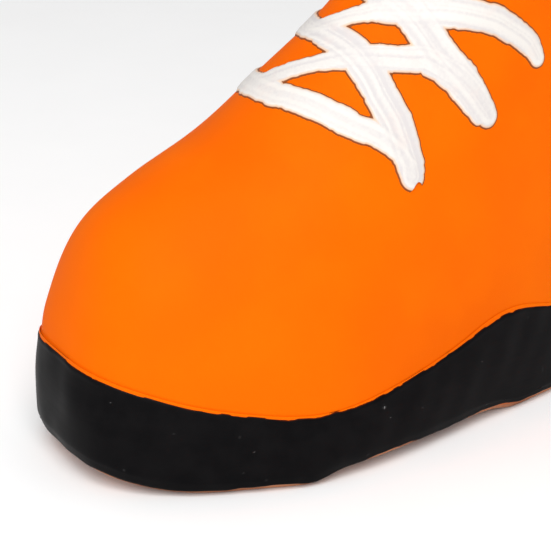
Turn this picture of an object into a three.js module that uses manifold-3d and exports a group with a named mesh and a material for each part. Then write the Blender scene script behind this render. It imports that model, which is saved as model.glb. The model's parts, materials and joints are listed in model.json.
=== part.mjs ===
// A squeaky latex toy moulded as a basketball high top: one hollow latex skin, a painted sole band,
// painted laces, and a reed squeaker pressed into the arch of the sole.
// Millimetres, +Z up, the toe points to -Y, the heel to +Y, and the origin is under the middle.
import * as THREE from "three";
import { mergeVertices } from "three/addons/utils/BufferGeometryUtils.js";
import Module from "manifold-3d";

// ---- Overall size of the moulded body, without its paint ----
const length = 116;
const ballHalfWidth = 30;
const collarFrontHeight = 104;
const collarSideHeight = 96.5;
const collarBackHeight = 100.5;

// ---- Walls, steps and clearances ----
const wall = 2; // latex thickness
const ledge = 0.9; // step from the sole wall in to the upper
const lip = 0.4; // bare rim of the step above the black paint
const rimWidth = 3.6; // thickness of the collar's rolled edge
const dishDepth = 9; // hollow inside the collar, under its lowest edge
const gap = 0.3; // clearance between neighbouring pieces
const coatThickness = 0.5; // black paint on the sole wall
const coatRise = 1.2; // bare latex under the black paint
const wallBulge = 0.5; // how far the sole wall swells out below its top
const cornerRise = 4.2; // rounding from the sole wall to the ground: its height and its width
const cornerRun = 2.2;
const archStart = 38;
const archEnd = 78;
const archRise = 1.7;
const archRamp = 2.5; // half the length of the slope between a pad and the arch
const toeSpring = 4.2;
const toeSpringLength = 20;
const heelSpring = 1;
const heelSpringLength = 12;

// ---- Lace strokes ----
const strokeWidth = 6.6;
const strokeThickness = 0.7;
const strokeLift = 0.4; // clearance between a stroke and the skin
const strokeStep = 2.6; // length of one facet along a stroke
const strokeFacets = 4; // facets across a stroke
const strokeTolerance = 0.03;

// ---- Squeaker ----
const plugRadius = 7;
const plugHeight = 9.6;
const plugWall = 0.9;
const flangeRadius = 10.5;
const flangeThickness = 1;
const barbRise = 0.7;
const ventRadius = 1.6;
const capThickness = 1;
const capHoleRadius = 0.6;
const capHoleCircle = 3.5;
const capHoleCount = 6;
const blockClearance = 0.69; // from the block's corners to the cup
const blockWidth = 5;
const blockHeight = 2.4;
const channelWidth = 2.2;
const channelDepth = 1.4;
const channelShoulder = 0.4; // left of the block at the channel's open end
const reedWidth = 3.6;
const reedSetback = 0.6; // of the reed's tip from the block's end
const reedThickness = 0.25;
const clampLength = 2.4;
const clampHeight = 1.6;

// ---- Mesh density ----
const around = 52; // points round each ring
const upperLevels = 26;
const innerLevels = 13;
const floorRings = 6;

// ---- Curves of the body, by distance from the toe ----
const curveOf = (points) => {
  const spline = new THREE.SplineCurve(points.map(([x, y]) => new THREE.Vector2(x, y)));
  const samples = spline.getPoints(240);
  return (x) => {
    if (x <= samples[0].x) return samples[0].y;
    const i = samples.findIndex((p) => p.x >= x);
    if (i < 0) return samples.at(-1).y;
    const a = samples[i - 1];
    const b = samples[i];
    return THREE.MathUtils.mapLinear(x, a.x, b.x, a.y, b.y);
  };
};

const soleHalfWidth = curveOf([
  [0, 0.8 * ballHalfWidth],
  [0.17 * length, 0.917 * ballHalfWidth],
  [0.35 * length, ballHalfWidth],
  [0.65 * length, 0.8 * ballHalfWidth],
  [0.82 * length, 0.733 * ballHalfWidth],
  [length, 0.7 * ballHalfWidth],
]);
// Top of the black paint.
const bandTop = curveOf([
  [0, 22],
  [0.15 * length, 15.8],
  [0.3 * length, 12.9],
  [0.42 * length, 14],
  [0.55 * length, 16.8],
  [0.68 * length, 20.5],
  [0.82 * length, 17.3],
  [length, 14.5],
]);
// Centre line of the upper from the toe to the throat, which then runs on above the collar.
const ridge = curveOf([
  [ledge, bandTop(ledge) + lip],
  [0.026 * length, 29.2],
  [0.078 * length, 43],
  [0.172 * length, 50.5],
  [0.293 * length, 57.1],
  [0.397 * length, 66.2],
  [0.5 * length, 76.5],
  [0.569 * length, 87],
  [0.612 * length, 100],
  [0.66 * length, 116],
  [0.776 * length, 160],
  [length, 300],
]);
// How far the back of the heel lies in from the sole's end, by height.
const heelInset = curveOf([
  [0, 0.3],
  [16, 0],
  [35, -0.6],
  [60, 2.5],
  [80, 4],
  [100, 2.5],
  [130, 0],
]);
// Narrowing of the ankle, by height.
const ankle = curveOf([
  [0, 1],
  [45, 1],
  [60, 0.93],
  [72, 0.85],
  [85, 0.86],
  [104, 0.98],
  [130, 1],
]);
// Height of the collar's edge.
const collarEdge = curveOf([
  [0.586 * length, collarFrontHeight],
  [0.681 * length, THREE.MathUtils.lerp(collarSideHeight, collarFrontHeight, 0.7)],
  [0.776 * length, collarSideHeight + 1],
  [0.871 * length, collarSideHeight],
  [0.966 * length, collarBackHeight],
]);
const outlinePower = 2.2;
const outlineRoot = 3.6;

const smooth = (from, to, x) => THREE.MathUtils.smoothstep(x, from, to);
const shoulder = (d) => bandTop(d) + lip;

// Half width of the sole's outline drawn in by an inset.
function outline(d, inset = 0) {
  const m = THREE.MathUtils.clamp(((d - inset) * length) / (length - 2 * inset), 0, length);
  const end = Math.max(1 - Math.abs((2 * m) / length - 1) ** outlinePower, 0) ** (1 / outlineRoot);
  return end * soleHalfWidth(m) * (1 - inset / ballHalfWidth);
}

// Half width of the upper at a distance from the toe and a height.
function section(d, z) {
  const back = d + heelInset(z) * smooth(length / 2, length, d);
  const foot = shoulder(d);
  const rise = THREE.MathUtils.clamp((z - foot) / Math.max(ridge(d) - foot, 0.001), 0, 1);
  return outline(back, ledge) * ankle(z) * Math.sqrt(1 - rise * rise);
}

// Underside of the sole: two pads, a raised arch between them, and lifted ends.
function underside(d) {
  const arch = smooth(archStart - archRamp, archStart + archRamp, d) -
    smooth(archEnd - archRamp, archEnd + archRamp, d);
  const toe = Math.max(1 - d / toeSpringLength, 0) ** 2;
  const heel = Math.max(1 - (length - d) / heelSpringLength, 0) ** 2;
  return archRise * arch + toeSpring * toe + heelSpring * heel;
}

// ---- Rings: closed loops of points, from the front round by +X ----
// halfWidth and height are functions of the distance from the toe.
function ring(front, back, halfWidth, height, count = around) {
  const steps = 360;
  const path = [];
  for (let i = 0; i <= steps; i++) {
    const d = (front + back) / 2 - ((back - front) / 2) * Math.cos((Math.PI * i) / steps);
    const x = i % steps ? halfWidth(d) : 0;
    path.push(new THREE.Vector3(x, d - length / 2, height(d)));
  }
  const run = [0];
  for (let i = 1; i <= steps; i++) run.push(run[i - 1] + path[i].distanceTo(path[i - 1]));
  const half = [];
  for (let j = 0, i = 1; j <= count / 2; j++) {
    const s = (run[steps] * j) / (count / 2);
    while (i < steps && run[i] < s) i++;
    const share = THREE.MathUtils.clamp((s - run[i - 1]) / (run[i] - run[i - 1]), 0, 1);
    half.push(path[i - 1].clone().lerp(path[i], share));
  }
  const far = half.slice(1, -1).reverse().map((p) => new THREE.Vector3(-p.x, p.y, p.z));
  return [...half, ...far];
}

// Where the centre line of the throat reaches a height.
function throatAt(height) {
  let low = ledge;
  let high = 0.8 * length;
  for (let i = 0; i < 40; i++) {
    const middle = (low + high) / 2;
    if (ridge(middle) < height(middle)) low = middle;
    else high = middle;
  }
  return low;
}

function upperRing(height, count = around) {
  const back = length - ledge - heelInset(height(length));
  return ring(throatAt(height), back, (d) => section(d, height(d)), height, count);
}

// Level 0 is the ledge above the sole band, level 1 is the collar's edge.
const levelHeight = (level) => (d) => THREE.MathUtils.lerp(shoulder(d), collarEdge(d), level);
const levelRing = (level, count = around) => upperRing(levelHeight(level), count);
const soleRing = (inset, height) => ring(inset, length - inset, (d) => outline(d, inset), height);
const spread = (count, from, to) =>
  Array.from({ length: count + 1 }, (_, i) => from + ((to - from) * i) / count);

// A ring's horizontal inward directions.
function inward(points) {
  return points.map((p, j) => {
    const next = points[(j + 1) % points.length];
    const last = points[(j + points.length - 1) % points.length];
    return new THREE.Vector3(last.y - next.y, next.x - last.x, 0).normalize();
  });
}

function drawIn(points, distance, height) {
  const way = inward(points);
  return points.map((p, j) => {
    const moved = p.clone().addScaledVector(way[j], distance);
    moved.z = height(p);
    return moved;
  });
}

// Moves each ring of a stack that runs upward along the surface's normal, outward if positive.
function offsetRings(rings, distance) {
  return rings.map((points, i) => points.map((p, j) => {
    const along = rings[Math.min(i + 1, rings.length - 1)][j].clone().sub(rings[Math.max(i - 1, 0)][j]);
    const round = points[(j + 1) % points.length].clone().sub(points.at(j - 1));
    return p.clone().addScaledVector(round.cross(along).normalize(), distance);
  }));
}

// ---- Meshes from rings ----
function geometryOf(vertices, faces) {
  const geometry = new THREE.BufferGeometry();
  geometry.setAttribute("position", new THREE.Float32BufferAttribute(vertices.flatMap((v) => v.toArray()), 3));
  geometry.setIndex(faces.flat());
  geometry.computeVertexNormals();
  return geometry;
}

// Joins a stack of rings into one skin; first and last are poles, or the stack closes on itself.
function loft(rings, poles) {
  const count = rings[0].length;
  const vertices = rings.flat();
  const faces = [];
  const last = rings.length - (poles ? 1 : 0);
  for (let i = 0; i < last; i++) {
    const upper = i * count;
    const lower = ((i + 1) % rings.length) * count;
    for (let j = 0; j < count; j++) {
      const k = (j + 1) % count;
      faces.push([upper + j, lower + j, lower + k], [upper + j, lower + k, upper + k]);
    }
  }
  if (poles) {
    const top = vertices.push(poles[0]) - 1;
    const end = vertices.push(poles[1]) - 1;
    const base = (rings.length - 1) * count;
    for (let j = 0; j < count; j++) {
      const k = (j + 1) % count;
      faces.push([top, j, k], [end, base + k, base + j]);
    }
  }
  return geometryOf(vertices, faces);
}

function lathe(points, y = 0, sides = 32) {
  const geometry = new THREE.LatheGeometry(points.map(([r, z]) => new THREE.Vector2(r, z)), sides);
  geometry.rotateX(Math.PI / 2);
  geometry.translate(0, y, 0);
  return geometry;
}

// ---- Solids for cuts and joins ----
const wasm = await Module();
wasm.setup();

function solidOf(geometry) {
  const bare = geometry.clone();
  bare.deleteAttribute("normal");
  bare.deleteAttribute("uv");
  const merged = mergeVertices(bare, 1e-4);
  return new wasm.Manifold(new wasm.Mesh({
    numProp: 3,
    vertProperties: new Float32Array(merged.attributes.position.array),
    triVerts: new Uint32Array(merged.index.array),
  }));
}

function geometryFrom(solid) {
  const mesh = solid.getMesh();
  const geometry = new THREE.BufferGeometry();
  geometry.setAttribute("position", new THREE.BufferAttribute(new Float32Array(mesh.vertProperties), 3));
  geometry.setIndex(new THREE.BufferAttribute(new Uint32Array(mesh.triVerts), 1));
  geometry.computeVertexNormals();
  return geometry;
}

const boxSolid = (sx, sy, sz, x, y, z) =>
  solidOf(new THREE.BoxGeometry(sx, sy, sz).translate(x, y, z));

// ---- The sole wall, which both the body and its black paint follow ----
// It swells out from its top, runs straight down and turns under in a quarter of an ellipse.
const cornerInset = (rise) => cornerRun * (1 - Math.sqrt(1 - (1 - rise / cornerRise) ** 2));

// Rings from the top of the black paint down, and at each of the given heights of the corner, as shares of it.
function wallRings(...cornerShares) {
  const partWay = (share) => (d) => THREE.MathUtils.lerp(underside(d), bandTop(d), share);
  return [
    soleRing(wallBulge, bandTop),
    soleRing(wallBulge * 0.3, partWay(0.8)),
    soleRing(0, partWay(0.6)),
    soleRing(0, (d) => underside(d) + cornerRise),
    ...cornerShares.map((share) =>
      soleRing(cornerInset(share * cornerRise), (d) => underside(d) + share * cornerRise)),
  ];
}

// ---- Body shell: one latex skin with a dished collar and a hole for the squeaker ----
const squeakerY = (archStart + archEnd) / 2 - length / 2;
const holeRadius = plugRadius + gap;
const dishFloor = collarSideHeight - dishDepth;

function circleRing(radius, z) {
  return spread(around - 1, 0, (around - 1) / around).map((turn) => new THREE.Vector3(
    radius * Math.sin(2 * Math.PI * turn),
    squeakerY - radius * Math.cos(2 * Math.PI * turn),
    z,
  ));
}

const blend = (a, b, share, height) => a.map((p, j) => {
  const point = p.clone().lerp(b[j], share);
  point.z = height(point);
  return point;
});

function bodyShell() {
  const collar = levelRing(1);
  const up = (rise) => (p) => p.z + rise;
  const flat = (z) => () => z;
  const middle = new THREE.Vector3(0, (collar[0].y + collar[around / 2].y) / 2, dishFloor);
  const dishWall = drawIn(collar, rimWidth + 0.4, flat(dishFloor + 1));
  const dishCorner = drawIn(collar, rimWidth + 1.3, flat(dishFloor));
  const towardMiddle = (share) => dishCorner.map((p) => p.clone().lerp(middle, 1 - share));
  const outer = [
    towardMiddle(0.4),
    dishCorner,
    dishWall,
    drawIn(collar, rimWidth, up(-0.9)),
    drawIn(collar, rimWidth * 0.8, up(0.3)),
    drawIn(collar, rimWidth * 0.5, up(0.8)),
    drawIn(collar, rimWidth * 0.18, up(0.5)),
    ...spread(upperLevels, 0.99, 0).map((level) => levelRing(level)),
    soleRing(THREE.MathUtils.lerp(wallBulge, ledge, 0.3), (d) => shoulder(d) - 0.05),
    ...wallRings(0.6, 0.3, 0.1, 0),
  ];
  const groundEdge = outer.at(-1);
  const under = (rise) => (p) => underside(p.y + length / 2) + rise;
  const bottom = spread(floorRings, 0, 1).slice(1)
    .map((share) => blend(groundEdge, circleRing(holeRadius, 0), share, under(0)));
  const inset = ledge + wall;
  const inside = soleRing(inset, (d) => underside(d) + wall);
  const floor = spread(floorRings - 1, 0, 1).slice(0, -1)
    .map((share) => blend(circleRing(holeRadius, 0), inside, share, under(wall)));
  const ceiling = dishFloor - wall;
  const highest = (ceiling - 3 - shoulder(0)) / (collarFrontHeight - shoulder(0));
  const skinRings = spread(innerLevels, 0.03, highest).map((level) => levelRing(level));
  const cavity = [
    inside,
    soleRing(inset, (d) => THREE.MathUtils.lerp(underside(d), shoulder(d), 0.6)),
    ...offsetRings(skinRings, -wall),
  ];
  const top = drawIn(upperRing(() => ceiling), wall + 0.6, flat(ceiling));
  const innerPole = new THREE.Vector3(0, middle.y, ceiling);
  return loft([...outer, ...bottom, ...floor, ...cavity, top], [middle, innerPole]);
}

// ---- Sole coat: the black paint round the sole wall ----
function soleCoat() {
  const upward = wallRings(0.6, coatRise / cornerRise).reverse();
  const inner = offsetRings(upward, gap);
  const outer = offsetRings(upward, gap + coatThickness).reverse();
  return loft([...outer, ...inner]);
}

// ---- Laces: brush strokes that lie on the upper ----
// A place on the upper is its level and its turn: 0 at the front, 0.5 half way to the heel by +X.
const gridLevels = 72;
const gridAround = 96;
const skin = spread(gridLevels, 0, 1).map((level) => levelRing(level, gridAround));

function onSkin(level, turn) {
  const row = THREE.MathUtils.clamp(level * gridLevels, 0, gridLevels - 1e-6);
  const column = ((turn + 2) * gridAround) / 2;
  const i = Math.floor(row);
  const j = Math.floor(column);
  const pick = (a, b) => skin[a][b % gridAround];
  const low = pick(i, j).clone().lerp(pick(i, j + 1), column - j);
  const high = pick(i + 1, j).clone().lerp(pick(i + 1, j + 1), column - j);
  return low.lerp(high, row - i);
}

// The skin at a place: its point, its normal, and the change of level and turn along a vector.
function frameAt(level, turn) {
  const step = 0.012;
  const point = onSkin(level, turn);
  const up = onSkin(level + step, turn).sub(onSkin(level - step, turn)).divideScalar(2 * step);
  const round = onSkin(level, turn + step).sub(onSkin(level, turn - step)).divideScalar(2 * step);
  const normal = round.clone().cross(up).normalize();
  const area = round.clone().cross(up).dot(normal);
  const move = (v) => [
    round.clone().cross(v).dot(normal) / area,
    v.clone().cross(up).dot(normal) / area,
  ];
  return { point, normal, move };
}

// One brush stroke through its places, with a round end at both ends and a crowned top.
// grow is the clearance added all round it.
function stroke(places, grow = 0) {
  const path = new THREE.SplineCurve(places.map(([level, turn]) => new THREE.Vector2(level, turn)));
  const stations = 26;
  const centres = path.getSpacedPoints(stations);
  const run = [0];
  for (let i = 1; i <= stations; i++) {
    const [a, b] = [centres[i - 1], centres[i]].map((p) => onSkin(p.x, p.y));
    run.push(run[i - 1] + a.distanceTo(b));
  }
  // The place at a distance along the stroke, which runs straight on past its ends.
  const at = (s) => {
    let i = 1;
    while (i < stations && run[i] < s) i++;
    const share = (s - run[i - 1]) / (run[i] - run[i - 1]);
    return centres[i - 1].clone().lerp(centres[i], share);
  };
  const radius = strokeWidth / 2 + grow;
  const low = strokeLift - grow;
  const high = strokeLift + strokeThickness + grow;
  const start = -grow;
  const finish = run[stations] + grow;
  const cap = [0.03, 0.14, 0.38, 0.7];
  const distances = [
    ...cap.map((c) => start + c * radius),
    ...spread(Math.ceil(run[stations] / strokeStep), start + radius, finish - radius),
    ...cap.map((c) => finish - c * radius).reverse(),
  ];
  // Each station is a closed loop: over the top, then back along the bottom.
  const loops = distances.map((s) => {
    const centre = at(s);
    const here = frameAt(centre.x, centre.y);
    const [before, after] = [at(s - 0.5), at(s + 0.5)].map((p) => onSkin(p.x, p.y));
    const side = here.normal.clone().cross(after.sub(before)).normalize();
    const end = Math.min(s - start, finish - s, radius);
    const reach = Math.sqrt(radius ** 2 - (radius - end) ** 2);
    const [levels, turns] = here.move(side);
    const places = spread(strokeFacets, -1, 1)
      .map((share) => frameAt(centre.x + levels * share * reach, centre.y + turns * share * reach));
    const crown = (i) => high - 0.35 * strokeThickness * ((2 * i) / strokeFacets - 1) ** 4;
    const raise = ({ point, normal }, height) => point.clone().addScaledVector(normal, height);
    const top = places.map((place, i) => raise(place, crown(i)));
    return [...top, ...places.map((place) => raise(place, low)).reverse()];
  });
  const middleOf = (loop) =>
    loop.reduce((sum, p) => sum.add(p), new THREE.Vector3()).divideScalar(loop.length);
  return solidOf(loft(loops, [middleOf(loops[0]), middleOf(loops.at(-1))]));
}

const swap = (places) => places.map(([level, turn]) => [level, -turn]);
// Ends of the strokes, from the toe up, on the +X side.
const eyelets = [[0.375, 0.427], [0.431, 0.542], [0.569, 0.604], [0.83, 0.5], [0.945, 0.42]];
const [near1, near2, near3, near4, near5] = eyelets;
const [far1, far2, far3, far4, far5] = swap(eyelets);
const strokes = {
  lace_bar: [
    [far1, [0.44, -0.33], [0.49, -0.2], [0.513, -0.094], [0.537, 0.02], [0.525, 0.135],
      [0.488, 0.24], [0.45, 0.333], [0.413, 0.396], near1],
  ],
  lace_cross_1: [
    [[0.512, -0.17], [0.54, -0.042], [0.588, 0.062], [0.6, 0.177],
      [0.581, 0.312], [0.544, 0.385], [0.506, 0.448], near2],
    [far2, [0.51, -0.43], [0.58, -0.27], [0.61, -0.15], [0.625, -0.031], [0.613, 0.104],
      [0.55, 0.229], [0.481, 0.323], near1],
  ],
  lace_cross_2: [
    [[0.622, -0.14], [0.663, 0.062], [0.675, 0.14],
      [0.663, 0.302], [0.644, 0.438], [0.613, 0.542], near3],
    [far3, [0.63, -0.46], [0.69, -0.25], [0.71, -0.05], [0.7, 0.08], [0.663, 0.198],
      [0.575, 0.354], [0.513, 0.448], near2],
  ],
  lace_cross_3: [
    [far3, [0.67, -0.42], [0.75, -0.2], [0.79, 0], [0.82, 0.22], near4],
    [far4, [0.84, -0.22], [0.8, 0], [0.74, 0.15], [0.68, 0.28]],
  ],
  lace_cross_4: [
    [far4, [0.87, -0.2], [0.91, 0], [0.95, 0.22], near5],
    [near4, [0.87, 0.2], [0.91, 0], [0.95, -0.22], far5],
  ],
};

// A later stroke stops short of the strokes painted before it, and a sliver cut off it is left out.
function laceSolids() {
  const made = [];
  let painted = null;
  for (const [name, paths] of Object.entries(strokes)) {
    let solid = wasm.Manifold.union(paths.map((places) => stroke(places)));
    if (painted) solid = solid.subtract(painted);
    const largest = solid.decompose().reduce((a, b) => (a.volume() > b.volume() ? a : b));
    made.push([name, geometryFrom(largest.simplify(strokeTolerance))]);
    const grown = wasm.Manifold.union(paths.map((places) => stroke(places, gap)));
    painted = painted ? painted.add(grown) : grown;
  }
  return made;
}

// ---- Squeaker: a plastic cup pressed into the arch, with a reed on a block inside ----
const cupBottom = archRise - gap - flangeThickness;
const cupTop = cupBottom + plugHeight;
const boreRadius = plugRadius - plugWall;
const blockLength = 2 * Math.sqrt((boreRadius - blockClearance) ** 2 - (blockWidth / 2) ** 2);
const reedLength = blockLength - reedSetback;
const barbBottom = archRise + wall + gap;
const blockTop = cupTop - plugWall - gap;
const blockBottom = blockTop - blockHeight;
const reedTop = blockBottom - gap;
const reedBottom = reedTop - reedThickness;
const clampTop = reedBottom - gap;
const clampY = squeakerY + (blockLength - clampLength) / 2;
const reedY = squeakerY + (blockLength - reedLength) / 2;

function squeakerHousing() {
  return lathe([
    [ventRadius, cupTop],
    [ventRadius, cupTop - plugWall],
    [boreRadius, cupTop - plugWall],
    [boreRadius, cupBottom],
    [flangeRadius - 0.3, cupBottom],
    [flangeRadius, cupBottom + 0.3],
    [flangeRadius, cupBottom + flangeThickness],
    [plugRadius, cupBottom + flangeThickness],
    [plugRadius, barbBottom],
    [plugRadius + barbRise, barbBottom],
    [plugRadius, barbBottom + 2],
    [plugRadius, cupTop - 0.5],
    [plugRadius - 0.5, cupTop],
    [ventRadius, cupTop],
  ], squeakerY);
}

function squeakerCap() {
  const radius = boreRadius - gap;
  const z = cupBottom + 0.2;
  const disc = solidOf(lathe([[0, z], [radius, z], [radius, z + capThickness], [0, z + capThickness]], squeakerY));
  const hole = (x, y) => wasm.Manifold.cylinder(3 * capThickness, capHoleRadius, capHoleRadius, 10)
    .translate([x, y, z - capThickness]);
  const holes = [hole(0, squeakerY)];
  for (let i = 0; i < capHoleCount; i++) {
    const turn = (2 * Math.PI * i) / capHoleCount;
    holes.push(hole(capHoleCircle * Math.cos(turn), squeakerY + capHoleCircle * Math.sin(turn)));
  }
  return geometryFrom(disc.subtract(wasm.Manifold.union(holes)));
}

function reedBlock() {
  const block = boxSolid(blockWidth, blockLength, blockHeight, 0, squeakerY, (blockTop + blockBottom) / 2);
  const channelLength = blockLength - clampLength - 3 * channelShoulder;
  const channelY = squeakerY - (blockLength - channelLength) / 2 + 2 * channelShoulder;
  const channel = boxSolid(channelWidth, channelLength, 2 * channelDepth, 0, channelY, blockBottom);
  const vent = wasm.Manifold.cylinder(2 * blockHeight, channelWidth / 2, channelWidth / 2, 20)
    .translate([0, squeakerY, blockBottom]);
  return geometryFrom(block.subtract(channel).subtract(vent));
}

const reedGeometry = () => new THREE.BoxGeometry(reedWidth, reedLength, reedThickness)
  .translate(0, reedY, (reedTop + reedBottom) / 2);

const clampGeometry = () => new THREE.BoxGeometry(blockWidth, clampLength, clampHeight)
  .translate(0, clampY, clampTop - clampHeight / 2);

// ---- The part ----
const group = new THREE.Group();
function add(name, geometry, color, roughness, metalness = 0) {
  const mesh = new THREE.Mesh(geometry, new THREE.MeshStandardMaterial({ color, roughness, metalness }));
  mesh.name = name;
  group.add(mesh);
}

add("body_shell", bodyShell(), 0xf87404, 0.45);
add("sole_coat", soleCoat(), 0x141215, 0.4);
for (const [name, geometry] of laceSolids()) add(name, geometry, 0xf8f1e8, 0.6);
add("squeaker_housing", squeakerHousing(), 0xe9e6dc, 0.4);
add("squeaker_cap", squeakerCap(), 0xe9e6dc, 0.4);
add("reed_block", reedBlock(), 0xe9e6dc, 0.4);
add("reed", reedGeometry(), 0xd8d3c2, 0.35);
add("reed_clamp", clampGeometry(), 0xe9e6dc, 0.4);

export default group;
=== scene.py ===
# %% [markdown]
# # A squeaky latex high top
# The object is a hollow toy, moulded in one piece of latex in the shape of a basketball high top. A
# black band of paint makes the sole, thick white brush strokes make the laces, and a plastic squeaker
# sits in the arch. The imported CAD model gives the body, the band's edges and the squeaker, and the places
# of the brush strokes are listed here. This script adds what a mould and a paint brush leave behind. It
# is in metres, and `MM` keeps the small sizes readable.

# %% Load the frame
import json
import math

import bpy
import numpy as np
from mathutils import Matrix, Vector
from mathutils.kdtree import KDTree

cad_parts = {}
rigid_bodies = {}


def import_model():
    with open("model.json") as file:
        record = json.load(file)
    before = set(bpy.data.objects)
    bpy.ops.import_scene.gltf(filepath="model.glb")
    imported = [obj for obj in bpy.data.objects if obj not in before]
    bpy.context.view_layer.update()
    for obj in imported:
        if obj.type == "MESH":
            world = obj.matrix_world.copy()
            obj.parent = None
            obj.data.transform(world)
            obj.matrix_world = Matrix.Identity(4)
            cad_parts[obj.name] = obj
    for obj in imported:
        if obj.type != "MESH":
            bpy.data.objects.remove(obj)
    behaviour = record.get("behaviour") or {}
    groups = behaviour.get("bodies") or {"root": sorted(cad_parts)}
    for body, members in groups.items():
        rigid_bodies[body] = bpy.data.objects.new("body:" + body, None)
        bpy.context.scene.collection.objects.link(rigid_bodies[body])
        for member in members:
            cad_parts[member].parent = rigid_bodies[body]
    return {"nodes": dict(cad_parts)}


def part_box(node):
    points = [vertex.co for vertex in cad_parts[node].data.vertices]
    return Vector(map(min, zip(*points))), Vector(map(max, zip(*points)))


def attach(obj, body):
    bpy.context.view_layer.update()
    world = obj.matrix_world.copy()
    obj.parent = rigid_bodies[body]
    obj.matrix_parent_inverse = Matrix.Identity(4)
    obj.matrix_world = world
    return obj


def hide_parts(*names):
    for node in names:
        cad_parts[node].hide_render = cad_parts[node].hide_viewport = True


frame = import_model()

MM = 0.001
context = bpy.context
bpy.context.view_layer.update()

# %% [markdown]
# ## Working by hand
# An operator acts on all that is selected, so each piece starts from an empty selection. A CAD node's
# mesh is loose triangles: a copy of it is merged, and its pairs of triangles are joined back into the
# quads of the design, which is what a subdivision surface needs.

# %% Helpers for pieces
def pick(obj):
    """Selects one object only and makes it active."""
    bpy.ops.object.select_all(action="DESELECT")
    obj.select_set(True)
    context.view_layer.objects.active = obj


def edit(obj, *steps):
    """Runs edit-mode steps on the whole of a mesh."""
    pick(obj)
    bpy.ops.object.mode_set(mode="EDIT")
    bpy.ops.mesh.select_all(action="SELECT")
    for step in steps:
        step()
    bpy.ops.object.mode_set(mode="OBJECT")


def modify(obj, kind, **settings):
    """Adds a modifier, sets it and applies it."""
    pick(obj)
    modifier = obj.modifiers.new(kind.title(), kind)
    for name, value in settings.items():
        setattr(modifier, name, value)
    bpy.ops.object.modifier_apply(modifier=modifier.name)


def copy_mesh(obj, name):
    """A new object with a copy of a mesh, on no body yet."""
    twin = bpy.data.objects.new(name, obj.data.copy())
    twin.data.name = name
    context.collection.objects.link(twin)
    return twin


def finish_piece(piece, body_name, slot, *nodes):
    """Smooths a piece's shading, puts it on its body and hides the CAD nodes it stands for; its slot is not
    used.
    """
    pick(piece)
    bpy.ops.object.shade_smooth()
    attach(piece, body_name)
    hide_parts(*nodes)


def delete_faces(piece, doomed):
    """Deletes the faces of a mesh that a mask names, with what only they used."""
    pick(piece)
    bpy.ops.object.mode_set(mode="EDIT")
    bpy.ops.mesh.select_mode(type="FACE")
    bpy.ops.mesh.select_all(action="DESELECT")
    bpy.ops.object.mode_set(mode="OBJECT")
    piece.data.polygons.foreach_set("select", doomed)
    bpy.ops.object.mode_set(mode="EDIT")
    bpy.ops.mesh.delete(type="FACE")
    bpy.ops.object.mode_set(mode="OBJECT")


def quads_of(node, name):
    """A CAD node's copy with its quads joined up again."""
    piece = copy_mesh(frame["nodes"][node], name)
    edit(
        piece,
        lambda: bpy.ops.mesh.remove_doubles(threshold=0.001 * MM),
        lambda: bpy.ops.mesh.tris_convert_to_quads(face_threshold=1.2, shape_threshold=1.5),
    )
    return piece


def points(mesh):
    """The vertices as an array of rows."""
    co = np.empty(3 * len(mesh.vertices))
    mesh.vertices.foreach_get("co", co)
    return co.reshape(-1, 3)


def set_points(mesh, co):
    """Moves the vertices to the rows of an array."""
    mesh.vertices.foreach_set("co", np.asarray(co, float).ravel())
    mesh.update()


def normals(mesh):
    """The vertices' normals as an array of rows."""
    n = np.empty(3 * len(mesh.vertices))
    mesh.vertices.foreach_get("normal", n)
    return n.reshape(-1, 3)


def store(mesh, name, values):
    """Keeps a number for each vertex, for a material to read."""
    layer = mesh.attributes.new(name, "FLOAT", "POINT")
    layer.data.foreach_set("value", np.asarray(values, np.float32))


def smooth_step(low, high, x):
    """0 at low and before it, 1 at high and past it, and smooth between them; low may be the larger one."""
    t = np.clip((x - low) / (high - low), 0, 1)
    return t * t * (3 - 2 * t)


# %% [markdown]
# ## Shader maths
# A material is easier to read as a formula. `Value` wraps a socket, so that `a * b + 0.1` adds its Math
# nodes, and `Shader.node` adds any other node from its type, its settings and its inputs.

# %% Shader helpers
class Value:
    """A number that changes over a surface."""

    def __init__(self, shader, socket):
        self.shader = shader
        self.socket = socket

    def math(self, operation, *others):
        inputs = dict(enumerate([self, *others]))
        return self.shader.node("ShaderNodeMath", {"operation": operation}, inputs)

    def __add__(self, other):
        return self.math("ADD", other)

    def __mul__(self, other):
        return self.math("MULTIPLY", other)

    def __sub__(self, other):
        return self.math("SUBTRACT", other)

    def __rsub__(self, other):
        return self.math("MULTIPLY_ADD", -1.0, other)

    __radd__ = __add__
    __rmul__ = __mul__

    def step(self, low, high):
        """0 below low, 1 above high, and smooth between them."""
        settings = {"interpolation_type": "SMOOTHSTEP"}
        inputs = {"Value": self, "From Min": low, "From Max": high}
        return self.shader.node("ShaderNodeMapRange", settings, inputs)


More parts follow.
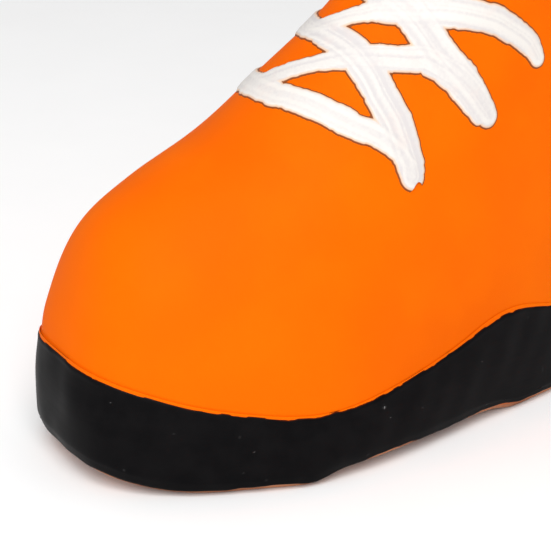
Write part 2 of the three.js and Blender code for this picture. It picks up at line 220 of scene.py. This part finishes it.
class Shader:
    """A material and the nodes that make it."""

    def __init__(self, name):
        self.material = bpy.data.materials.new(name)
        self.material.use_nodes = True
        self.tree = self.material.node_tree
        self.surface = self.tree.nodes["Principled BSDF"]

    def node(self, kind, settings=None, inputs=None, output=0):
        made = self.tree.nodes.new(kind)
        for name, value in (settings or {}).items():
            setattr(made, name, value)
        for name, value in (inputs or {}).items():
            self.feed(made.inputs[name], value)
        return Value(self, made.outputs[output])

    def feed(self, socket, value):
        if isinstance(value, Value):
            self.tree.links.new(value.socket, socket)
        else:
            socket.default_value = value

    def place(self):
        """Object coordinates, in metres."""
        return self.node("ShaderNodeTexCoord", output="Object")

    def stretched(self, vector, scale):
        return self.node("ShaderNodeMapping", None, {"Vector": vector, "Scale": scale})

    def noise(self, vector, scale, detail=3.0):
        """Cloudy noise, with that many blobs to the metre."""
        return self.node("ShaderNodeTexNoise", None, {"Vector": vector, "Scale": scale, "Detail": detail})

    def blend(self, share, a, b):
        """Colour a, going over to colour b as the share goes from 0 to 1."""
        factor, colour_a, colour_b, colour_out = 0, 6, 7, 2  # a Mix node's sockets for colours
        inputs = {factor: share, colour_a: a, colour_b: b}
        return self.node("ShaderNodeMix", {"data_type": "RGBA"}, inputs, colour_out)

    def attribute(self, name):
        """A number that was stored on the mesh."""
        return self.node("ShaderNodeAttribute", {"attribute_name": name}, None, "Fac")

    def bump(self, height, distance):
        """A finish too fine to model, at most that many metres high."""
        return self.node("ShaderNodeBump", None, {"Height": height, "Distance": distance, "Strength": 1.0})

    def finish(self, **sockets):
        """Feeds the surface's sockets, whose names have _ for a space."""
        for name, value in sockets.items():
            self.feed(self.surface.inputs[name.replace("_", " ")], value)

    def paint(self, *pieces):
        """Puts the material on pieces in place of what they have."""
        for piece in pieces:
            piece.data.materials.clear()
            piece.data.materials.append(self.material)
        print(self.material.name, "has", len(self.tree.nodes), "nodes and is on", *[p.name for p in pieces])


def rgb(*colour):
    """A colour in linear light, with full alpha."""
    return (*colour, 1.0)


# %% [markdown]
# ## Camera, floor and light
# The toy stands on a plain white sweep in a bright light tent, so its colours are even and its shadows
# are soft. The camera looks a little down on the outer side of the toe from about a third of a metre
# away, close in on the front half of the toy.

# %% Stage
AZIMUTH = math.radians(59.8)
ELEVATION = math.radians(22.5)
CAMERA_DISTANCE = 0.34
CAMERA_TARGET = Vector((0, -14.5, 26.85)) * MM
CAMERA_LENS = 124.0

back = Vector((
    math.sin(AZIMUTH) * math.cos(ELEVATION),
    -math.cos(AZIMUTH) * math.cos(ELEVATION),
    math.sin(ELEVATION),
))
bpy.ops.object.camera_add(location=CAMERA_TARGET + back * CAMERA_DISTANCE)
camera = context.object
camera.rotation_euler = back.to_track_quat("Z", "Y").to_euler()
camera.data.lens = CAMERA_LENS
camera.data.sensor_width = 36.0
camera.data.clip_start = 0.01
context.scene.camera = camera
context.scene.view_settings.view_transform = "Standard"

floor_paint = Shader("white_sweep")
floor_grain = floor_paint.noise(floor_paint.place(), 40.0)
floor_paint.finish(
    Base_Color=floor_paint.blend(floor_grain, rgb(0.95, 0.95, 0.95), rgb(0.98, 0.98, 0.98)),
    Roughness=0.9,
)
FLOOR_DROP = 0.05 * MM  # keeps the floor from flickering through the flat pads
bpy.ops.mesh.primitive_plane_add(size=6.0, location=(0, 0, -FLOOR_DROP))
floor = context.object
floor.name = "floor"
floor.data.materials.append(floor_paint.material)

world = bpy.data.worlds.new("light_tent")
world.use_nodes = True
world.node_tree.nodes["Background"].inputs["Color"].default_value = rgb(1, 1, 1)
world.node_tree.nodes["Background"].inputs["Strength"].default_value = 0.6
context.scene.world = world


def soft_light(name, place, size, power):
    """A square lamp, aimed at the camera's target; size in metres, power in watts."""
    bpy.ops.object.light_add(type="AREA", location=place)
    lamp = context.object
    lamp.name = name
    lamp.data.size = size
    lamp.data.energy = power
    lamp.rotation_euler = (Vector(place) - CAMERA_TARGET).to_track_quat("Z", "Y").to_euler()


soft_light("key", (0.5, -0.35, 0.7), 0.6, 6.5)
soft_light("fill", (0.7, -0.4, 0.2), 0.6, 1.0)
print("camera is", round((camera.location - CAMERA_TARGET).length / MM), "mm from the toe box")

# %% [markdown]
# ## The latex body
# The mould gives one seamless skin: a swollen toe, a small ledge over the sole wall, two pads and an
# arch under it, and a collar with a rolled edge. The design's rings are kept as a cage for a
# subdivision surface, which rounds every corner as thick latex does. Before that, the cage is pushed
# about by a few tenths of a millimetre, because latex shrinks unevenly as it cures. The paint is cut
# from this same cage, so it lies on the skin exactly.

# %% Body cage
cage = quads_of("body_shell", "body_cage")
cage_points = points(cage.data)
print("cage:", len(cage.data.vertices), "points,", len(cage.data.polygons), "faces")


def uneven(co, seed, size):
    """Smooth waves between -1 and 1 over space, from a few sines in random directions."""
    dice = np.random.default_rng(seed)
    total = np.zeros(len(co))
    waves = 7
    for _ in range(waves):
        way = dice.normal(size=3)
        way /= np.linalg.norm(way)
        total += np.sin(co @ way * (2 * math.pi / size) * dice.uniform(0.7, 1.4) + dice.uniform(0, 6.28))
    return total / math.sqrt(waves)


SHRINKAGE = 0.22 * MM
WAVE = 42 * MM
free = smooth_step(8 * MM, 22 * MM, cage_points[:, 2])  # the flat sole and the band stay as designed
push = SHRINKAGE * free * uneven(cage_points, 3, WAVE)
set_points(cage.data, cage_points + normals(cage.data) * push[:, None])
print("cage pushed by up to", round(float(np.abs(push).max() / MM), 2), "mm")

# A subdivision surface lies inside its cage, so the cage is moved out until the surface runs through
# the design.
FITTING_ROUNDS = 3
target = points(cage.data)
for _ in range(FITTING_ROUNDS):
    trial = copy_mesh(cage, "trial")
    modify(trial, "SUBSURF", levels=1, render_levels=1)
    short = target - points(trial.data)[:len(target)]
    bpy.data.objects.remove(trial)
    set_points(cage.data, points(cage.data) + short)
    print("surface was up to", round(float(np.abs(short).max() / MM), 2), "mm from the design")


def stand_on_ground(piece):
    """Flattens what a subdivision surface swings below the ground, as the pads are flat on it."""
    co = points(piece.data)
    co[:, 2] = np.maximum(co[:, 2], 0)
    set_points(piece.data, co)


body = copy_mesh(cage, "body")
modify(body, "SUBSURF", levels=2, render_levels=2)
stand_on_ground(body)
finish_piece(body, "toy", "orange_latex", "body_shell")
print("body:", len(body.data.polygons), "faces")

# %% [markdown]
# ## How a coat of paint is made
# Thick paint is a second skin with its own edge. A patch of the cage is cut out and subdivided until
# its faces are finer than the paint's edge. Then each vertex gets a film height: positive inside the
# coat, falling through zero at its edge. What lies well outside is deleted, and the rest is moved along
# its normal, so the coat dives into the latex along a clean line. How thick the paint is, or how far
# from its edge, is kept as an attribute, because thin paint lets the colour below through. A bump map
# could draw such an edge from the front, but it would vanish in the outline, and the band and the laces
# do stand out there.

# %% Paint helpers
def patch(name, wanted, levels):
    """A fine copy of the cage's faces that are wanted; wanted takes face centres and normals, in metres."""
    piece = copy_mesh(cage, name)
    mesh = piece.data
    count = len(mesh.polygons)
    centres = np.empty(3 * count)
    mesh.polygons.foreach_get("center", centres)
    facing = np.empty(3 * count)
    mesh.polygons.foreach_get("normal", facing)
    delete_faces(piece, ~wanted(centres.reshape(-1, 3), facing.reshape(-1, 3)))
    modify(piece, "SUBSURF", levels=levels, render_levels=levels, boundary_smooth="PRESERVE_CORNERS")
    return piece


SINK = -0.3 * MM  # how deep a coat's skirt dives into the latex


def lay(piece, film, **attributes):
    """Raises a patch by its film height, stores what the material reads, and cuts off what lies outside."""
    mesh = piece.data
    set_points(mesh, points(mesh) + normals(mesh) * np.maximum(film, SINK)[:, None])
    for name, values in attributes.items():
        store(mesh, name, values)
    corners = np.empty(len(mesh.loops), int)
    mesh.loops.foreach_get("vertex_index", corners)
    starts = np.empty(len(mesh.polygons), int)
    mesh.polygons.foreach_get("loop_start", starts)
    highest = np.maximum.reduceat(film[corners], starts)
    delete_faces(piece, highest <= SINK)
    thickest = round(float(film.max() / MM), 2)
    print(piece.name, "has", len(mesh.polygons), "faces, and is up to", thickest, "mm thick")


def ripple(run, seed, size):
    """Smooth random waves between about -1 and 1 along a run, by linear noise eased between its knots."""
    dice = np.random.default_rng(seed)
    count = 4096
    first = 1000  # so that a run may start below zero
    knots = dice.uniform(-1, 1, count)
    at = run / size + first
    i = np.floor(at).astype(int)
    t = at - i
    t = t * t * (3 - 2 * t)
    return knots[i % count] * (1 - t) + knots[(i + 1) % count] * t


# %% [markdown]
# ## The black sole band
# The band is brushed on by hand round the sole wall. Its upper edge follows the ledge, not quite
# straight, with a slight bead where the brush left most paint, and its lower edge stops a little above
# the ground. Air bubbles in the thick paint leave small blisters, some of which burst into pinholes.
# The edges' heights are read off the CAD coat, along the length of the foot. Blisters a fifth of a
# millimetre wide need a fine mesh, which is thinned out where it is smooth once they are in it.

# %% Sole band
coat_low, coat_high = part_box("sole_coat")
END = 1 * MM  # of the foot, past which the coat's edges are level
STATION_GAP = 0.5 * MM
stations = np.arange(coat_low[1] + END, coat_high[1] - END, STATION_GAP)


def heights_by_length(mesh):
    """The mesh's highest and lowest crossing of each station, a plane across the foot."""
    ends = np.empty(2 * len(mesh.edges), int)
    mesh.edges.foreach_get("vertices", ends)
    a, b = points(mesh)[ends.reshape(-1, 2)].transpose(1, 0, 2)
    highest, lowest = [], []
    for y in stations:
        crosses = (a[:, 1] - y) * (b[:, 1] - y) < 0
        start, finish = a[crosses], b[crosses]
        share = (y - start[:, 1]) / (finish[:, 1] - start[:, 1])
        z = start[:, 2] + share * (finish[:, 2] - start[:, 2])
        highest.append(z.max())
        lowest.append(z.min())
    return highest, lowest


coat_top, coat_foot = heights_by_length(frame["nodes"]["sole_coat"].data)


def top_at(co):
    """The band's upper edge beside each point."""
    return np.interp(co[:, 1], stations, coat_top)


def foot_at(co):
    """The band's lower edge beside each point."""
    return np.interp(co[:, 1], stations, coat_foot)


def sole_wall(centres, facing):
    """The faces round the sole, a little more of them than the band covers."""
    outside = (centres[:, :2] * facing[:, :2]).sum(1) > 0
    low_enough = centres[:, 2] < top_at(centres) + 2.5 * MM
    not_under = facing[:, 2] > -0.97
    return outside & low_enough & not_under


coat = patch("sole_band", sole_wall, 4)
co = points(coat.data)
MEAN_RADIUS = 40 * MM  # of the band round the foot, which turns an angle into a run along it
coat_run = np.arctan2(co[:, 0], -co[:, 1]) * MEAN_RADIUS
top_edge = top_at(co)
top_edge += 0.22 * MM * ripple(coat_run, 11, 5 * MM) + 0.1 * MM * ripple(coat_run, 12, 1.3 * MM)
toe = smooth_step(-38 * MM, -50 * MM, co[:, 1])  # where the brush reached a little lower
low_edge = foot_at(co) - 0.3 * MM * toe
low_edge += 0.35 * MM * ripple(coat_run, 13, 7 * MM) + 0.1 * MM * ripple(coat_run, 14, 1.6 * MM)
inside = np.minimum(top_edge - co[:, 2], co[:, 2] - low_edge)

# The paint sags, so it is thin along the top, and a bead runs along both edges.
COAT_FILM = 0.55 * MM
BEAD = 0.05 * MM
UNEVENNESS = 0.05 * MM
OUTSIDE_SLOPE = 4  # how steeply the skirt dives in past the edge
sag = 0.2 + 0.8 * smooth_step(0, 9 * MM, top_edge - co[:, 2])
film = COAT_FILM * sag * smooth_step(-0.05 * MM, 0.55 * MM, inside)
film += BEAD * np.exp(-((inside - 0.7 * MM) / (0.35 * MM)) ** 2)
film += UNEVENNESS * smooth_step(0, 1 * MM, inside) * uneven(co, 15, 7 * MM)
film = np.where(inside < 0, OUTSIDE_SLOPE * inside, film)

BLISTERS = 70
BLISTER_RADII = [0.14, 0.19, 0.25, 0.32]  # in millimetres
RADIUS_CHANCES = [0.4, 0.3, 0.2, 0.1]
BURST_CHANCE = 0.35
# How brightly each blister glints: it sets the clear coat and the low roughness, and at full strength a
# painted grey highlight.
GLINTS = [0.4, 0.7, 1.0]
dice = np.random.default_rng(21)
blister = np.zeros(len(co))
centres = dice.choice(np.flatnonzero(inside > 0.6 * MM), BLISTERS, replace=False)
for centre in centres:
    radius = dice.choice(BLISTER_RADII, p=RADIUS_CHANCES) * MM
    burst = dice.random() < BURST_CHANCE
    glint = dice.choice(GLINTS)
    away = np.linalg.norm(co - co[centre], axis=1) / radius
    dome = np.sqrt(np.clip(1 - away ** 2, 0, 1)) * 0.45 * radius
    pit = -smooth_step(1.2, 0.5, away) * 0.5 * radius + 0.2 * radius * np.exp(-((away - 1.3) / 0.25) ** 2)
    film += pit if burst else dome
    blister = np.maximum(blister, glint * smooth_step(1.3, 0.9, away))
lay(coat, film, thickness=film / MM, blister=blister)
modify(coat, "DECIMATE", ratio=0.8)
stand_on_ground(coat)
print("the thinned sole band has", len(coat.data.polygons), "faces and", BLISTERS, "blisters")
finish_piece(coat, "toy", "black_paint", "sole_coat")

# The orange is sprayed on from above, so the latex under the band's lower edge stays bare.
# Its brown also holds painted shade, the contact shadow at the ground.
body_points = points(body.data)
store(body.data, "bare_depth", (foot_at(body_points) - body_points[:, 2]) / MM)

# %% [markdown]
# ## The painted laces
# Each lace is one pull of a round brush loaded with white paint. It starts on one side of the throat,
# crosses the middle and ends at an eyelet on the other side. A stroke is a short list of places on the
# skin, each with the stroke's width there. Wet paint flows together, so all strokes are one piece, and
# at a crossing only a quarter of the lower stroke's film adds to the upper one's. Bristles leave fine
# ridges along the pull, and the edge is ragged where they splay. A swept tube would be quicker, but it
# would lie on the skin like a cord.

# %% Lace strokes
# Places are x, y, z and width in millimetres, snapped to the skin.
STROKES = {
    "bar": [
        (-21.8, -0.6, 48.7, 5), (-18.8, -3.8, 55, 6.5), (-15, -9, 59, 6), (-7.9, -15.5, 61, 5.4),
        (1.8, -17.1, 61.9, 5.4), (10.4, -13.1, 61, 5.4), (15.4, -8.7, 58.3, 5.6), (18.6, -3.8, 55.4, 4.6),
        (20.6, -1.1, 51.9, 3.6), (21.6, -0.6, 49.2, 3),
    ],
    "cross_1_up": [
        (-13, -12, 60, 5), (-3.7, -16.4, 62, 4.6), (0.9, -14.3, 64.1, 4.8), (4.9, -10, 66.1, 4),
        (7.9, -5.7, 67.4, 5), (10.6, -1.6, 67.7, 5.4), (13.3, 3.4, 67.5, 5.4), (14.6, 6.9, 67.2, 5.8),
        (16.4, 10.5, 64.5, 6.2), (18.1, 13, 61.8, 6.8), (19.5, 15.3, 58.2, 6.4), (20, 16.2, 57.2, 4.8),
    ],
    "cross_1_down": [
        (-20.4, 16.2, 55.6, 5), (-18.1, 12.5, 61.7, 7), (-13, 4.5, 67.8, 6.8), (-8, -3, 69.6, 6.2),
        (-2.3, -6.2, 70.8, 5), (3.1, -6, 70.7, 5.8), (7, -4.8, 69.6, 6.6), (10.3, -3.6, 67.2, 7),
        (13.3, -2.9, 64, 6.8), (17.5, -1.4, 58, 7), (20.8, -0.5, 51.5, 6.2), (21.6, -0.6, 49.4, 5.4),
    ],
    "cross_2_up": [
        (-12, 3, 68.5, 5), (-2.3, -6.2, 70.6, 4.6), (4.3, -1.4, 73.7, 4.2), (7.2, 2, 74.9, 5),
        (10.5, 6.4, 75.1, 6), (14, 12.5, 74.9, 6.4), (17.3, 20.1, 72.8, 5.8), (16.7, 26.1, 68.7, 5.6),
        (16.8, 28.6, 65, 4.2),
    ],
    "cross_2_down": [
        (-16.8, 29, 64.3, 4.6), (-16.9, 25, 69.5, 6.6), (-16, 16, 75.5, 7), (-9, 6, 79.5, 7),
        (-1, 2, 79.8, 7), (8.9, 4.9, 76.1, 7), (10.6, 5.9, 74.6, 7), (13, 7.6, 71.5, 7),
        (15.4, 9.7, 67.4, 7), (18, 13.3, 62.4, 6.6), (20, 16.3, 57.4, 4.6),
    ],
    "cross_3_up": [
        (-16.5, 30, 64, 4.6), (-15.5, 21, 74.5, 6.6), (-11, 11, 82.5, 7), (0, 7.5, 86, 7),
        (11.5, 14.5, 88, 6.8), (14.6, 22, 87.5, 6.6), (14.5, 29.5, 84.5, 5),
    ],
    "cross_3_down": [
        (-14.5, 29.5, 84.5, 5), (-14.6, 22, 88.5, 6.6), (-11.5, 15, 89.5, 6.8), (0, 8, 86.5, 7),
        (8.5, 8.5, 81.5, 6.8), (12.5, 11, 77.5, 5),
    ],
    "cross_4_up": [
        (-14.5, 29.5, 84.5, 5), (-11, 15, 92, 6.4), (0, 11.5, 96, 6.6), (11.5, 18, 98, 6.4),
        (14.5, 27.5, 94.5, 5),
    ],
    "cross_4_down": [
        (14.5, 29.5, 84.5, 5), (11, 15, 92, 6.4), (0, 11.5, 96, 6.6), (-11.5, 18, 98, 6.4),
        (-14.5, 27.5, 94.5, 5),
    ],
}
STEP = 0.15 * MM  # along a stroke's middle line
ANKLE = np.array((0, 34)) * MM  # middle of the collar: the dish inside it faces this way
lace_nodes = ["lace_bar", "lace_cross_1", "lace_cross_2", "lace_cross_3", "lace_cross_4"]
lace_low = np.min([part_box(n)[0] for n in lace_nodes], axis=0) - 2 * MM
lace_high = np.max([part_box(n)[1] for n in lace_nodes], axis=0) + 2 * MM


def throat_skin(centres, facing):
    """The faces round the laces that face out of the ankle, not into the collar's dish."""
    inside = ((centres > lace_low) & (centres < lace_high)).all(1)
    from_ankle = centres[:, :2] - ANKLE
    return inside & ((from_ankle * facing[:, :2]).sum(1) > 0)


def snap(places, tree, skin):
    """A stroke's middle line on the skin, stepped evenly, with its half width at each step."""
    knots = np.array(places) * MM
    knots = np.vstack([2 * knots[0] - knots[1], knots, 2 * knots[-1] - knots[-2]])
    steps = 60  # from one place to the next, on a smooth curve through all of them
    dense = []
    for a, b, c, d in zip(knots, knots[1:], knots[2:], knots[3:]):
        t = np.linspace(0, 1, steps, endpoint=False)[:, None]
        dense.append(0.5 * (2 * b + (c - a) * t + (2 * a - 5 * b + 4 * c - d) * t ** 2
                            + (3 * b - a - 3 * c + d) * t ** 3))
    dense = np.vstack([*dense, knots[-2:-1]])
    run = np.concatenate([[0], np.cumsum(np.linalg.norm(np.diff(dense[:, :3], axis=0), axis=1))])
    even = np.arange(0, run[-1], STEP)
    line = np.stack([np.interp(even, run, dense[:, i]) for i in range(4)], axis=1)
    middle = np.array([skin[tree.find(p)[1]] for p in line[:, :3]])
    reach = 6  # steps each way over which the line is smoothed, as the nearest skin point jumps
    kernel = np.hanning(2 * reach + 3)[1:-1]
    kernel /= kernel.sum()
    padded = np.pad(middle, ((reach, reach), (0, 0)), mode="edge")
    middle = np.stack([np.convolve(padded[:, i], kernel, mode="valid") for i in range(3)], axis=1)
    return middle, line[:, 3] / 2


def brush(skin, facing, middle, half, seed):
    """Skin points near one stroke: their numbers, how far inside its edge they lie, their run and offset."""
    margin = 5 * MM
    low = middle.min(0) - margin
    high = middle.max(0) + margin
    near = np.flatnonzero(((skin > low) & (skin < high)).all(1))
    away = np.empty(len(near))
    closest = np.empty(len(near), int)
    batch = 4000  # points at a time, to save memory
    for chunk in np.array_split(np.arange(len(near)), max(1, len(near) // batch)):
        gaps = ((skin[near[chunk], None, :] - middle[None, :, :]) ** 2).sum(2)
        closest[chunk] = gaps.argmin(1)
        away[chunk] = np.sqrt(gaps.min(1))
    pull = np.gradient(middle, axis=0)
    side = np.cross(facing[near], pull[closest])
    offset = np.sign((side * (skin[near] - middle[closest])).sum(1)) * away
    run = closest * STEP
    # The edge wanders on down one side of the stroke, round its end and back up the other side.
    around = np.where(offset > 0, run, 2 * len(middle) * STEP - run)
    ragged = 0.16 * ripple(around, seed, 2.4 * MM) + 0.1 * ripple(around, seed + 1, 0.7 * MM)
    inside = half[closest] + ragged * MM - away
    return near, inside, run, offset


LACE_FILM = 0.4 * MM
CROSSING = 0.25  # how much of the lower stroke's film adds to the upper one's
RIDGE = 0.018 * MM  # left by one bristle
BARE = -1 * MM  # film where no stroke has been
lace = patch("lace_paint", throat_skin, 4)
skin = points(lace.data)
facing = normals(lace.data)
tree = KDTree(len(skin))
for i, p in enumerate(skin):
    tree.insert(p, i)
tree.balance()

film = np.full(len(skin), BARE)
depth = np.full(len(skin), BARE)  # how far inside the edge of the paint each place is
streak = np.zeros(len(skin))
shares = np.full(len(skin), 1e-6)  # not zero, because it divides the streaks
for number, (name, places) in enumerate(STROKES.items()):
    middle, half = snap(places, tree, skin)
    print("stroke", name, "is", round(len(middle) * STEP / MM), "mm long")
    near, inside, run, offset = brush(skin, facing, middle, half, 40 + 3 * number)
    body_film = smooth_step(-0.05 * MM, 0.75 * MM, inside)
    bristle = 0.6 * ripple(offset + 0.15 * MM * ripple(run, number, 4 * MM), 70 + number, 0.34 * MM)
    bristle += 0.4 * ripple(offset, 90 + number, 0.8 * MM)
    height = LACE_FILM * body_film * (1 + 0.1 * ripple(run, 110 + number, 6 * MM))
    height += RIDGE * bristle * smooth_step(0.2 * MM, 0.9 * MM, inside)
    height = np.where(inside < 0, inside, height)
    depth[near] = np.maximum(depth[near], inside)
    share = np.clip(height / LACE_FILM, 0, 1) ** 4
    # The streak share follows the bristle ridges; the white paint turns it into painted shade in the
    # grooves.
    streak[near] += share * (0.5 + 0.5 * bristle)
    shares[near] += share
    both = np.clip(np.minimum(film[near], height), 0, None)
    film[near] = np.maximum(film[near], height) + CROSSING * both
lay(lace, film, streak=streak / shares, depth=depth / MM)
finish_piece(lace, "toy", "white_paint", *lace_nodes)

# %% [markdown]
# ## The squeaker
# The cup is injection moulded, so it is round, its corners have small radii and its disc has air holes.
# The cup's rings come from the design: its edges are bevelled and then subdivided, which keeps the
# flats flat and makes the circles round. The disc is a new cylinder with its holes cut by a boolean.
# The pieces sealed inside only need their edges broken, which is a modifier on the CAD node itself.

# %% Squeaker
cup = quads_of("squeaker_housing", "squeaker_cup")
modify(cup, "BEVEL", width=0.12 * MM, segments=2, limit_method="ANGLE", angle_limit=math.radians(25))
modify(cup, "SUBSURF", levels=2, render_levels=2)
finish_piece(cup, "toy", "squeaker_plastic", "squeaker_housing")

disc_low, disc_high = [Vector(corner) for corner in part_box("squeaker_cap")]
disc_middle = (disc_low + disc_high) / 2
disc_radius = (disc_high.x - disc_low.x) / 2
disc_depth = disc_high.z - disc_low.z
HOLE_RADIUS = 0.6 * MM
HOLE_CIRCLE = 3.5 * MM
OUTER_HOLES = 6


def cylinder(radius, depth, place, sides):
    """A closed cylinder with its mesh placed, so that its object stays at the origin."""
    bpy.ops.mesh.primitive_cylinder_add(vertices=sides, radius=radius, depth=depth, location=place)
    bpy.ops.object.transform_apply(location=True)
    return context.object


disc = cylinder(disc_radius, disc_depth, disc_middle, 96)
disc.name = "squeaker_disc"
turns = [2 * math.pi * i / OUTER_HOLES for i in range(OUTER_HOLES)]
air_holes = [Vector()] + [Vector((math.cos(t), math.sin(t), 0)) * HOLE_CIRCLE for t in turns]
for place in air_holes:
    drill = cylinder(HOLE_RADIUS, 3 * disc_depth, disc_middle + place, 24)
    modify(disc, "BOOLEAN", operation="DIFFERENCE", solver="EXACT", object=drill)
    bpy.data.objects.remove(drill)
modify(disc, "BEVEL", width=0.1 * MM, segments=3, limit_method="ANGLE", angle_limit=math.radians(40),
       harden_normals=True)
finish_piece(disc, "toy", "squeaker_plastic", "squeaker_cap")

hidden = [frame["nodes"][name] for name in ("reed_block", "reed_clamp", "reed")]
for node in hidden:
    soften = node.modifiers.new("Soften", "BEVEL")
    soften.width = 0.08 * MM
    soften.segments = 3
    soften.limit_method = "ANGLE"
print("cup:", len(cup.data.polygons), "faces, disc:", len(disc.data.polygons), "faces")

# %% [markdown]
# ## Orange latex
# The skin is sprayed a strong, even orange that goes slightly redder in clouds, with a satin sheen and
# fine pores. Light enters latex a little way, which a small subsurface share gives. Under the band the
# spray ends, and the bare latex is brown, with its darker mottles painted shade: the contact shadow at the
# ground. The pattern reads places on the toy itself, so it stays put when the toy is turned. An image could
# do the same, but noise needs no file and has no seams.

# %% Orange latex
latex = Shader("orange_latex")
place = latex.place()
mottle = latex.noise(place, 90.0, 4.0)
cloud = latex.noise(place, 22.0, 2.0)
pores = latex.noise(place, 1600.0, 2.0)
tone = latex.blend(cloud.step(0.3, 0.7), rgb(0.76, 0.112, 0.0005), rgb(0.8, 0.128, 0.0005))
tone = latex.blend(mottle.step(0.35, 0.75) * 0.35, tone, rgb(0.84, 0.145, 0.0008))
# Bare latex is brown, and the darker end of its mottle is painted shade, the contact shadow at the ground.
bare_latex_and_shade = latex.blend(mottle.step(0.3, 0.7), rgb(0.24, 0.09, 0.05), rgb(0.5, 0.22, 0.12))
low = (latex.attribute("bare_depth") + (cloud - 0.5) * 1.5).step(-0.7, 0.3)
latex.finish(
    Base_Color=latex.blend(low, tone, bare_latex_and_shade),
    Roughness=mottle * 0.16 + 0.5,
    Normal=latex.bump(pores * 0.6 + mottle * 0.4, 0.00002),
    Specular_IOR_Level=0.02,
    Subsurface_Weight=0.08,
    Subsurface_Radius=(0.003, 0.0012, 0.0005),
    Subsurface_Scale=1.0,
)
latex.paint(body)

# %% [markdown]
# ## Black paint
# The band's paint is a deep satin black. Brush marks run along it, so its bump noise is drawn out
# lengthwise by a Mapping node that squeezes it in height. A blister has stretched thin and shiny paint,
# so it gets a clear coat and a low roughness; the brightest blisters are also coloured a pale grey, which
# is a painted highlight. At the very edge, where the film is thinnest, the orange makes the black a dark
# red.

# %% Black paint
black = Shader("black_paint")
place = black.place()
streak = black.noise(black.stretched(place, (60, 60, 900)), 1.0, 3.0)
grain = black.noise(place, 260.0, 4.0)
thickness = black.attribute("thickness")
blister = black.attribute("blister")
thin = 1.0 - thickness.step(0.01, 0.07)
tone = black.blend(grain.step(0.3, 0.7), rgb(0.0022, 0.002, 0.0024), rgb(0.004, 0.0036, 0.004))
# The grey on the brightest blisters is a painted highlight, the lamp's glint put into the colour.
tone = black.blend(blister.step(0.8, 1.0), tone, rgb(0.2, 0.2, 0.2))
black.finish(
    Base_Color=black.blend(thin, tone, rgb(0.07, 0.008, 0.001)),
    Roughness=(grain * 0.2 + 0.35) * (1.0 - blister * 0.75),
    Coat_Weight=blister * 0.6,
    Normal=black.bump(streak * 0.7 + grain * 0.3, 0.00004),
    Specular_IOR_Level=0.045,
)
black.paint(coat)

# %% [markdown]
# ## White paint
# The laces are a warm white with painted shade from the brush: greyer in the grooves between its ridges
# and lighter on the ridges. Where a stroke is thin, along its edge, the orange under it turns the white to
# skin colour. At the very rim it goes on to a dark brown, darker than the orange below, which is painted
# shade: the shadow that the thick paint's edge casts on the skin. Two steps of the stored depth give those
# two rims, at the same width all round, which a noise mask could not.

# %% White paint
white = Shader("white_paint")
place = white.place()
depth_mm = white.attribute("depth")
streak_share = white.attribute("streak")
grain = white.noise(place, 1500.0, 3.0)
blotch = white.noise(place, 330.0, 3.0)
thin = 1.0 - depth_mm.step(0.4, 0.8)
# The dark brown at the thinnest rim is painted shade, the shadow of the thick paint's edge on the skin.
edge = 1.0 - depth_mm.step(0.24, 0.42)
# Greyer in the brush's grooves and lighter on its ridges: painted shade, mixed with random grain.
groove_shade_and_grain = (streak_share * 0.7 + grain * 0.3).step(0.25, 0.7)
tone = white.blend(groove_shade_and_grain, rgb(0.58, 0.55, 0.545), rgb(0.7, 0.67, 0.635))
tone = white.blend(blotch.step(0.5, 0.75) * 0.25, tone, rgb(0.72, 0.58, 0.53))
tone = white.blend(thin, tone, rgb(0.7, 0.5, 0.36))
white.finish(
    Base_Color=white.blend(edge, tone, rgb(0.22, 0.055, 0.008)),
    Roughness=grain * 0.15 + 0.45,
    Normal=white.bump(grain * 0.6 + blotch * 0.4, 0.00005),
    Specular_IOR_Level=0.15,
)
white.paint(lace)

# %% [markdown]
# ## Squeaker plastic
# The cup, its disc and the block and clamp inside it are moulded in cloudy, undyed plastic. It is
# milky, so it gets more subsurface light than the latex, and its mould was smooth, so its bump is very
# low.

# %% Squeaker plastic
plastic = Shader("squeaker_plastic")
place = plastic.place()
haze = plastic.noise(place, 500.0, 3.0)
grain = plastic.noise(place, 4000.0, 2.0)
plastic.finish(
    Base_Color=plastic.blend(haze.step(0.3, 0.7), rgb(0.78, 0.76, 0.7), rgb(0.86, 0.84, 0.79)),
    Roughness=haze * 0.2 + 0.3,
    Normal=plastic.bump(grain, 0.000008),
    Subsurface_Weight=0.15,
    Subsurface_Radius=(0.002, 0.0018, 0.0014),
    Subsurface_Scale=1.0,
)
reed_block, reed_clamp, reed = hidden
plastic.paint(cup, disc, reed_block, reed_clamp)

# %% [markdown]
# ## Reed film
# The reed is cut from thin yellowish film and rubs against its block, so fine scuffs run along it. They
# are noise drawn out in the reed's direction.

# %% Reed film
tongue = Shader("reed_film")
place = tongue.place()
scuff = tongue.noise(tongue.stretched(place, (3000, 300, 3000)), 1.0, 3.0)
tongue.finish(
    Base_Color=tongue.blend(scuff.step(0.3, 0.7), rgb(0.6, 0.55, 0.42), rgb(0.72, 0.68, 0.56)),
    Roughness=scuff * 0.2 + 0.25,
    Normal=tongue.bump(scuff, 0.000006),
)
tongue.paint(reed)

# %% [markdown]
# ## Finish
# The cage is removed, now that the body and the paint have been built from it.

# %% Finish
bpy.data.objects.remove(cage)
